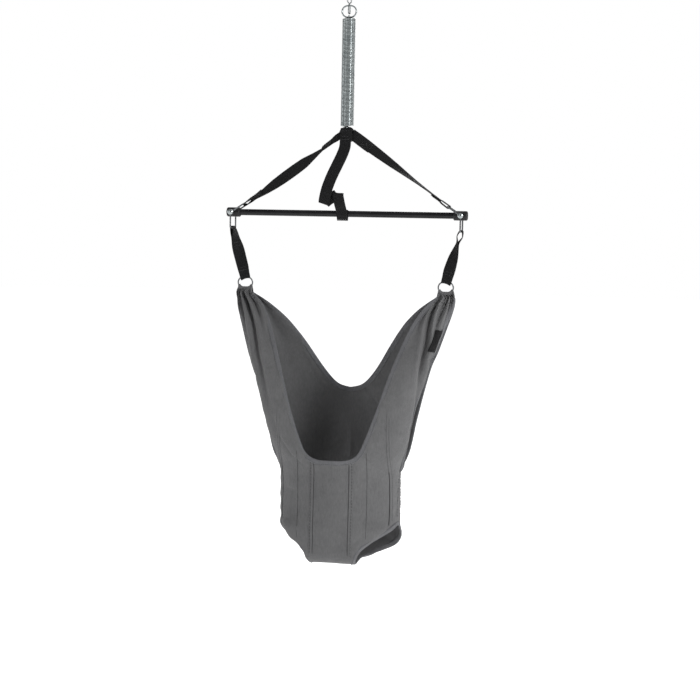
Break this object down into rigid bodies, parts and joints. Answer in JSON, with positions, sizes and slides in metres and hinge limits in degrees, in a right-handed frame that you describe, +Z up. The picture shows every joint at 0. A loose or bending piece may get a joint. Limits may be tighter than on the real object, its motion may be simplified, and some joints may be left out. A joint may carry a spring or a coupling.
{
  "type": "activity jumper",
  "caption": "Hanging baby jumper: hook and link, long steel spring, black spreader bar on webbing straps, and a charcoal sewn seat held by two oval rings.",
  "frame": {"origin": "inside top of the ceiling hook's upper bend, where the load is carried", "axes": "+Z up along the load line, +X along the spreader bar to the viewer's right, front of the seat towards -Y"},
  "size_m": [0.3892, 0.1558, 0.9368],
  "materials": {
    "zinc_wire": "bright zinc plate",
    "nickel_wire": "polished nickel plate",
    "black_tube": "gloss black powder coat",
    "cap_plastic": "black moulded plastic",
    "webbing": "black woven webbing",
    "seat_fabric": "charcoal woven cotton",
    "binding_tape": "charcoal edge tape",
    "woven_label": "black woven label, blank"
  },
  "bodies": {
    "hook": {"ceiling_hook": "zinc_wire"},
    "link": {"chain_link": "zinc_wire"},
    "top_ring": {"top_ring": "nickel_wire"},
    "spring": {"spring_top_hook": "zinc_wire", "spring": "zinc_wire"},
    "spring_tail": {"spring_lower_hook": "zinc_wire"},
    "spreader": {"hub_ring": "nickel_wire", "hub_wrap": "webbing", "left_upper_strap": "webbing", "right_upper_strap": "webbing", "safety_strap": "webbing", "bar_sleeve": "webbing", "spreader_bar": "black_tube", "left_end_cap": "cap_plastic", "right_end_cap": "cap_plastic", "through_bolts": "nickel_wire", "dome_nuts": "nickel_wire", "bolt_spacers": "cap_plastic", "left_upper_stirrup": "nickel_wire", "right_upper_stirrup": "nickel_wire"},
    "left_link": {"left_lower_stirrup": "nickel_wire"},
    "right_link": {"right_lower_stirrup": "nickel_wire"},
    "seat_straps": {"left_lower_strap": "webbing", "right_lower_strap": "webbing"},
    "seat": {"left_seat_ring": "nickel_wire", "right_seat_ring": "nickel_wire", "left_hem": "seat_fabric", "right_hem": "seat_fabric", "front_center_panel": "seat_fabric", "front_left_panel": "seat_fabric", "front_right_panel": "seat_fabric", "back_center_panel": "seat_fabric", "back_left_panel": "seat_fabric", "back_right_panel": "seat_fabric", "front_left_shoulder": "seat_fabric", "front_right_shoulder": "seat_fabric", "back_left_shoulder": "seat_fabric", "back_right_shoulder": "seat_fabric", "front_neck_binding": "binding_tape", "back_neck_binding": "binding_tape", "left_arm_binding": "binding_tape", "right_arm_binding": "binding_tape", "left_leg_binding": "binding_tape", "right_leg_binding": "binding_tape", "label": "woven_label"}
  },
  "joints": [
    {"name": "hook_turn", "type": "hinge", "parent": "hook", "child": "link", "pos_m": [0, 0, -0.0251], "axis": [0, 0, 1], "range_deg": [-30, 30]},
    {"name": "fore_aft_swing", "type": "hinge", "parent": "link", "child": "top_ring", "pos_m": [0, 0, -0.0535], "axis": [1, 0, 0], "range_deg": [-20, 20]},
    {"name": "side_swing", "type": "hinge", "parent": "top_ring", "child": "spring", "pos_m": [0, 0, -0.0711], "axis": [0, 1, 0], "range_deg": [-12, 12]},
    {"name": "bounce", "type": "slide", "parent": "spring", "child": "spring_tail", "axis": [0, 0, -1], "range_m": [0, 0.15], "stiffness_N_per_m": 500, "springref_m": -0.04, "deforming": ["spring"]},
    {"name": "bar_tilt", "type": "hinge", "parent": "spring_tail", "child": "spreader", "pos_m": [0, 0, -0.2425], "axis": [0, 1, 0], "range_deg": [-12, 12]},
    {"name": "left_link_swing", "type": "hinge", "parent": "spreader", "child": "left_link", "pos_m": [-0.185, 0, -0.3781], "axis": [0, 1, 0], "range_deg": [-20, 20]},
    {"name": "right_link_swing", "type": "hinge", "parent": "spreader", "child": "right_link", "pos_m": [0.185, 0, -0.3781], "axis": [0, 1, 0], "range_deg": [-20, 20]},
    {"name": "strap_level", "type": "hinge", "parent": "left_link", "child": "seat_straps", "pos_m": [-0.185, 0, -0.4031], "axis": [0, 1, 0], "range_deg": [-20, 20]},
    {"name": "seat_rock", "type": "hinge", "parent": "seat_straps", "child": "seat", "pos_m": [-0.163, 0, -0.4822], "axis": [1, 0, 0], "range_deg": [-25, 25]}
  ],
  "couplings": [
    {"joint": "right_link_swing", "follows": "left_link_swing", "ratio": 1},
    {"joint": "strap_level", "follows": "left_link_swing", "ratio": -1}
  ]
}
